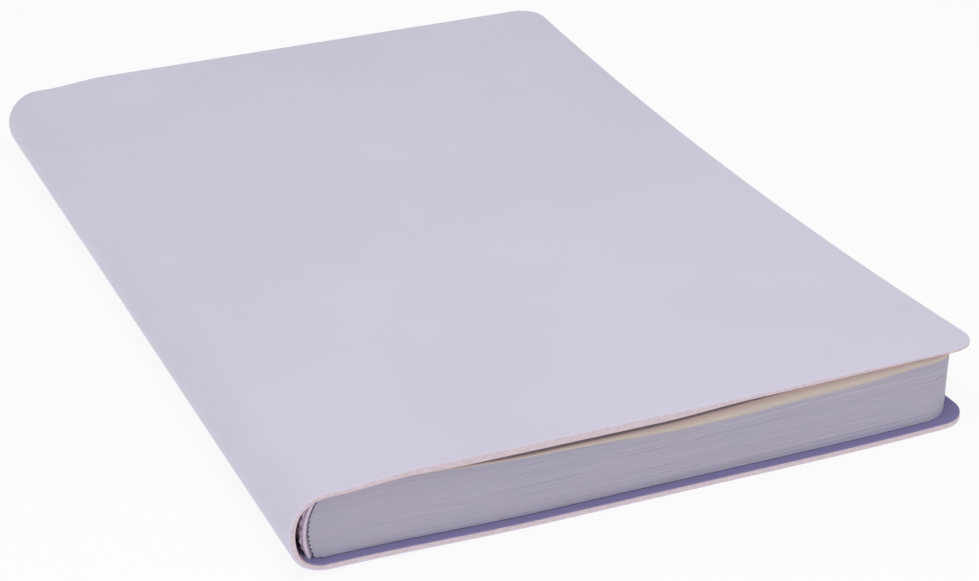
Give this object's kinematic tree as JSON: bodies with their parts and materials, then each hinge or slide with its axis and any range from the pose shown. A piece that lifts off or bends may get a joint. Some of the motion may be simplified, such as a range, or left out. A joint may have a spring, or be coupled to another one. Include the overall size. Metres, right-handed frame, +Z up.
{
  "type": "planner",
  "caption": "Closed soft-cover planner with a rounded spine, tinted page edges, bands at head and tail, and covers that open.",
  "frame": {"origin": "centre of the closed planner's footprint, on the surface that its back cover lies on", "axes": "+X from the spine to the fore edge, +Y from the tail to the head, +Z up through the front cover"},
  "size_m": [0.148, 0.216, 0.0205],
  "materials": {
    "cover_skin": "matt lilac imitation leather with a very fine grain and a pinkish-beige cut edge",
    "lining_paper": "matt periwinkle-blue lining paper",
    "page_edges": "leaves with a tinted silver-lavender edge, cream where the tint stops under the front cover",
    "flyleaf_paper": "uncoated cream paper",
    "back_leaf_paper": "uncoated paper with a tinted silver-lavender edge",
    "spine_cloth": "open-weave cotton cloth stiffened with glue",
    "band_cloth": "light lilac woven band with a stitched bead"
  },
  "bodies": {
    "page_body": {"page_block": "page_edges", "front_flyleaf": "flyleaf_paper", "back_flyleaf": "back_leaf_paper", "spine_lining": "spine_cloth", "head_band": "band_cloth", "tail_band": "band_cloth", "spine_cover": "cover_skin"},
    "front_cover_body": {"front_cover": "cover_skin", "front_lining": "lining_paper"},
    "back_cover_body": {"back_cover": "cover_skin", "back_lining": "lining_paper"}
  },
  "joints": [
    {"name": "front_cover_hinge", "type": "hinge", "parent": "page_body", "child": "front_cover_body", "pos_m": [-0.064, 0, 0.01745], "axis": [0, -1, 0], "range_deg": [0, 178]},
    {"name": "back_cover_hinge", "type": "hinge", "parent": "page_body", "child": "back_cover_body", "pos_m": [-0.064, 0, 0.00075], "axis": [0, 1, 0], "range_deg": [0, 178]}
  ]
}
